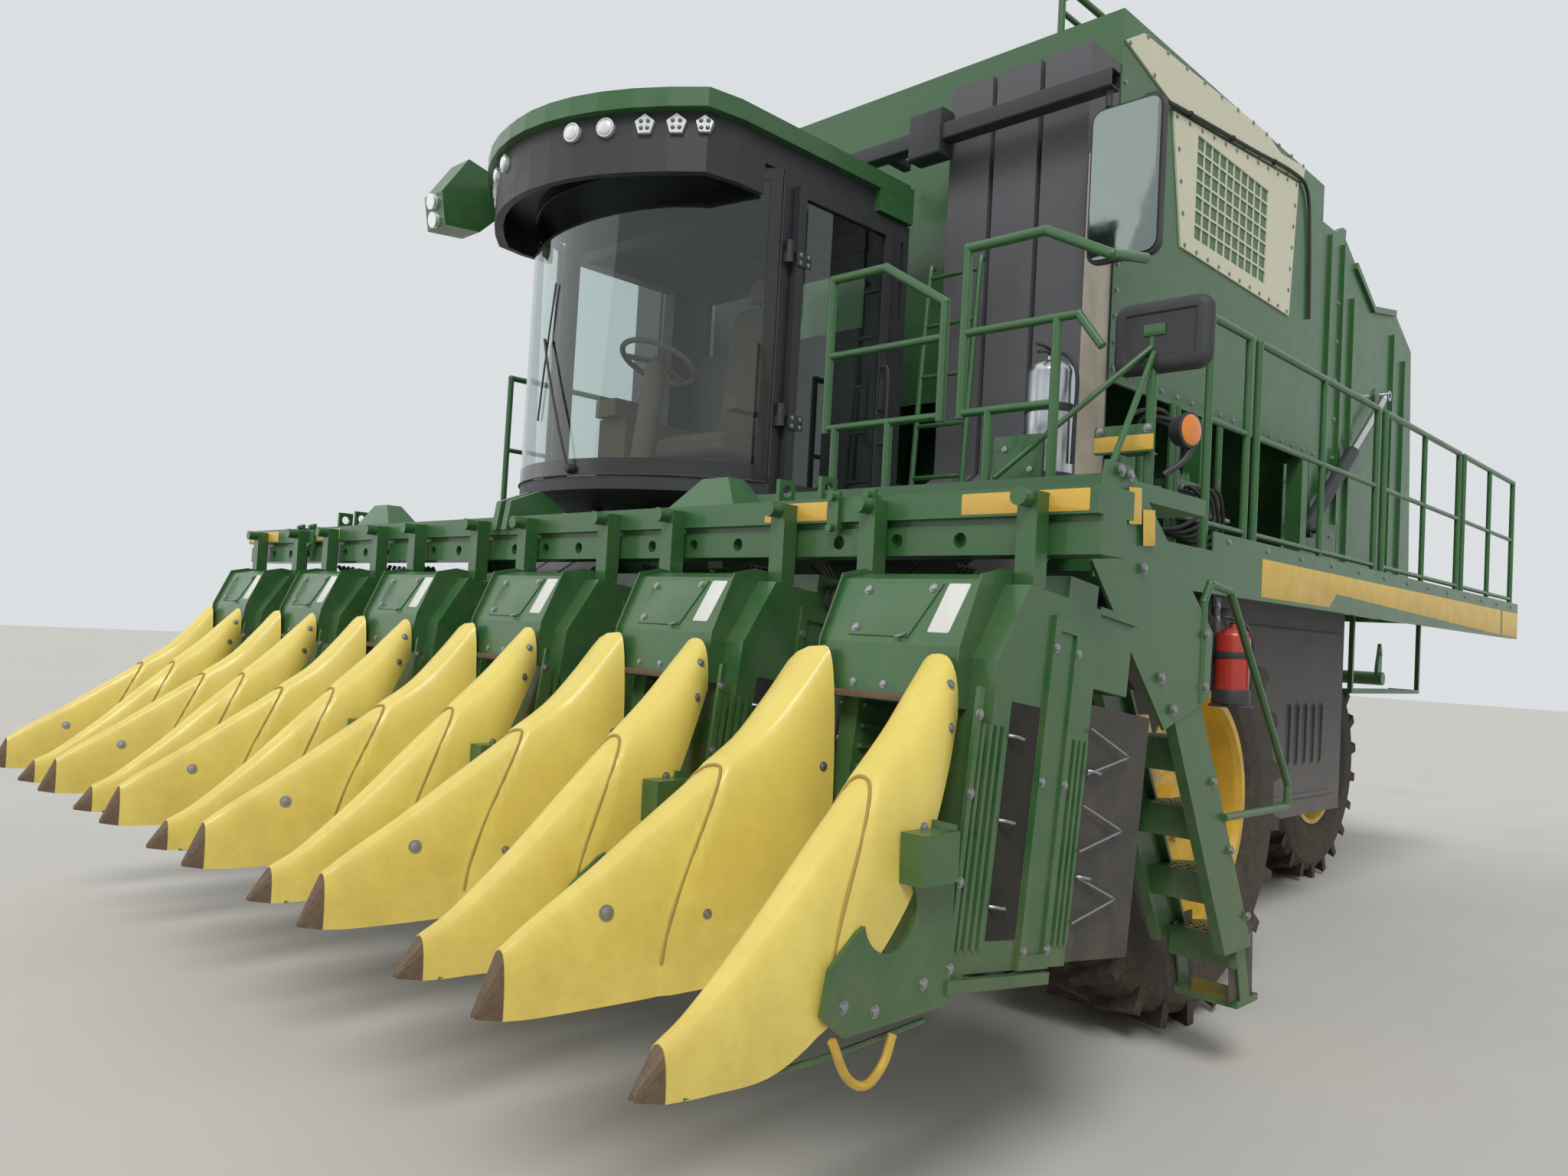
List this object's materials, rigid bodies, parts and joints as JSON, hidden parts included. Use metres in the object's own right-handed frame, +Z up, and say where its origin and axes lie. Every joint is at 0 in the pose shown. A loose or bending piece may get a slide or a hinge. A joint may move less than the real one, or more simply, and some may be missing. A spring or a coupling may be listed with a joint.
{
  "type": "six-row self-propelled cotton picker with round module builder",
  "caption": "Self-propelled cotton picker with a raised row-unit header, glazed cab, accumulator and a round module builder on dual front wheels and steered rear wheels.",
  "frame": {"origin": "centre of the bounding box at ground level", "axes": "-Y forward, +X to the machine's left, +Z up"},
  "size_m": [5.85, 9.9498, 5.1723],
  "materials": {
    "paint_green": "semi-gloss green enamel",
    "paint_yellow": "semi-gloss yellow enamel",
    "moulded_yellow": "polished yellow moulding",
    "dark_plastic": "matt dark plastic",
    "dark_paint": "satin black paint",
    "tyre_rubber": "matt rubber",
    "tank_plastic": "grained grey plastic",
    "glass": "clear tinted glass",
    "seat_trim": "woven cloth and trim",
    "worn_steel": "worn, partly rusted",
    "chrome_rod": "polished",
    "cream_panel": "sky-bleached pale enamel",
    "extinguisher_red": "gloss red paint",
    "lamp_glass": "clear lamp lens over a reflector",
    "mirror_face": "mirror glass and dark shell"
  },
  "bodies": {
    "chassis": {"frame_rails": "paint_green", "cross_members": "paint_green", "outriggers": "paint_green", "front_axle": "paint_green", "rear_axle": "paint_green", "engine_block": "dark_paint", "side_tanks": "tank_plastic", "cab_shell": "dark_paint", "cab_roof": "paint_green", "roof_visor": "dark_plastic", "roof_lamps": "lamp_glass", "cab_glass": "glass", "seat": "seat_trim", "cab_interior": "dark_plastic", "landing": "paint_green", "decks": "paint_green", "handrails": "paint_green", "landing_rails": "paint_green", "top_guards": "paint_green", "ducts": "tank_plastic", "duct_ends": "tank_plastic", "accumulator": "paint_green", "accumulator_front": "paint_green", "accumulator_panels": "cream_panel", "mirrors": "dark_plastic", "extinguishers": "extinguisher_red", "chamber_front": "paint_green", "chamber_wall": "paint_green"},
    "cab_door": {"cab_door": "dark_paint", "door_pane": "glass"},
    "front_wheels_left": {"front_rims_left": "paint_yellow", "front_tyres_left": "tyre_rubber"},
    "front_wheels_right": {"front_rims_right": "paint_yellow", "front_tyres_right": "tyre_rubber"},
    "knuckle_left": {"knuckle_left": "paint_green"},
    "rear_wheel_left": {"rear_rim_left": "paint_yellow", "rear_tyre_left": "tyre_rubber"},
    "knuckle_right": {"knuckle_right": "paint_green"},
    "rear_wheel_right": {"rear_rim_right": "paint_yellow", "rear_tyre_right": "tyre_rubber"},
    "lift_arms": {"lift_arms": "paint_green"},
    "lift_barrels": {"lift_barrels": "dark_paint"},
    "lift_rods": {"lift_rods": "chrome_rod"},
    "header": {"toolbar": "paint_green", "unit_cabinets": "paint_green", "unit_curtains": "tyre_rubber", "unit_hoods": "paint_green", "wide_snouts": "moulded_yellow", "narrow_snouts": "moulded_yellow", "wear_steel": "worn_steel", "drive_shafts": "dark_plastic"},
    "rear_gate": {"rear_gate": "paint_green", "gate_wall": "paint_green"},
    "gate_barrels": {"gate_barrels": "dark_paint"},
    "gate_rods": {"gate_rods": "chrome_rod"},
    "module_handler": {"module_handler": "paint_green"}
  },
  "joints": [
    {"name": "cab_door_hinge", "type": "hinge", "parent": "chassis", "child": "cab_door", "pos_m": [0.884, -2.847, 2.9], "axis": [0, 0, -1], "range_deg": [0, 75]},
    {"name": "front_left_spin", "type": "hinge", "parent": "chassis", "child": "front_wheels_left", "pos_m": [0.965, -1.275, 0.975], "axis": [1, 0, 0], "continuous": true},
    {"name": "front_right_spin", "type": "hinge", "parent": "chassis", "child": "front_wheels_right", "pos_m": [-0.965, -1.275, 0.975], "axis": [1, 0, 0], "continuous": true},
    {"name": "left_steer", "type": "hinge", "parent": "chassis", "child": "knuckle_left", "pos_m": [0.56, 3.015, 0.875], "axis": [0, 0, 1], "range_deg": [-30, 30]},
    {"name": "right_steer", "type": "hinge", "parent": "chassis", "child": "knuckle_right", "pos_m": [-0.56, 3.015, 0.875], "axis": [0, 0, 1], "range_deg": [-30, 30]},
    {"name": "rear_left_spin", "type": "hinge", "parent": "knuckle_left", "child": "rear_wheel_left", "pos_m": [0.965, 3.015, 0.875], "axis": [1, 0, 0], "continuous": true},
    {"name": "rear_right_spin", "type": "hinge", "parent": "knuckle_right", "child": "rear_wheel_right", "pos_m": [-0.965, 3.015, 0.875], "axis": [1, 0, 0], "continuous": true},
    {"name": "header_lift", "type": "hinge", "parent": "chassis", "child": "lift_arms", "pos_m": [0, -2.095, 1.33], "axis": [1, 0, 0], "range_deg": [0, 28]},
    {"name": "header_level", "type": "hinge", "parent": "lift_arms", "child": "header", "pos_m": [0, -3.285, 1.88], "axis": [1, 0, 0], "range_deg": [-28.2, 0.2]},
    {"name": "lift_ram_pivot", "type": "hinge", "parent": "chassis", "child": "lift_barrels", "pos_m": [0, -2.255, 0.98], "axis": [1, 0, 0], "range_deg": [-0.01, 26.63]},
    {"name": "lift_ram_stroke", "type": "slide", "parent": "lift_barrels", "child": "lift_rods", "axis": [0, -0.7357, 0.6773], "range_m": [-0.1886, 0.0001]},
    {"name": "gate_hinge", "type": "hinge", "parent": "chassis", "child": "rear_gate", "pos_m": [0, 2.825, 5.04], "axis": [1, 0, 0], "range_deg": [0, 60]},
    {"name": "gate_ram_pivot", "type": "hinge", "parent": "chassis", "child": "gate_barrels", "pos_m": [0, 1.975, 2.62], "axis": [1, 0, 0], "range_deg": [-0.01, 8.93]},
    {"name": "gate_ram_stroke", "type": "slide", "parent": "gate_barrels", "child": "gate_rods", "axis": [0, 0.7901, 0.6129], "range_m": [-0.0001, 1.3857]},
    {"name": "handler_tilt", "type": "hinge", "parent": "chassis", "child": "module_handler", "pos_m": [0, 4.285, 1.56], "axis": [1, 0, 0], "range_deg": [-35, 0]}
  ],
  "couplings": [
    {"joint": "header_level", "follows": "header_lift", "ratio": -1},
    {"joint": "lift_ram_pivot", "follows": "header_lift", "ratio": 0.93194},
    {"joint": "lift_ram_stroke", "follows": "header_lift", "m_per_rad": -0.37826},
    {"joint": "gate_ram_pivot", "follows": "gate_hinge", "ratio": 0.1458},
    {"joint": "gate_ram_stroke", "follows": "gate_hinge", "m_per_rad": 1.2972},
    {"joint": "right_steer", "follows": "left_steer", "ratio": 1}
  ]
}
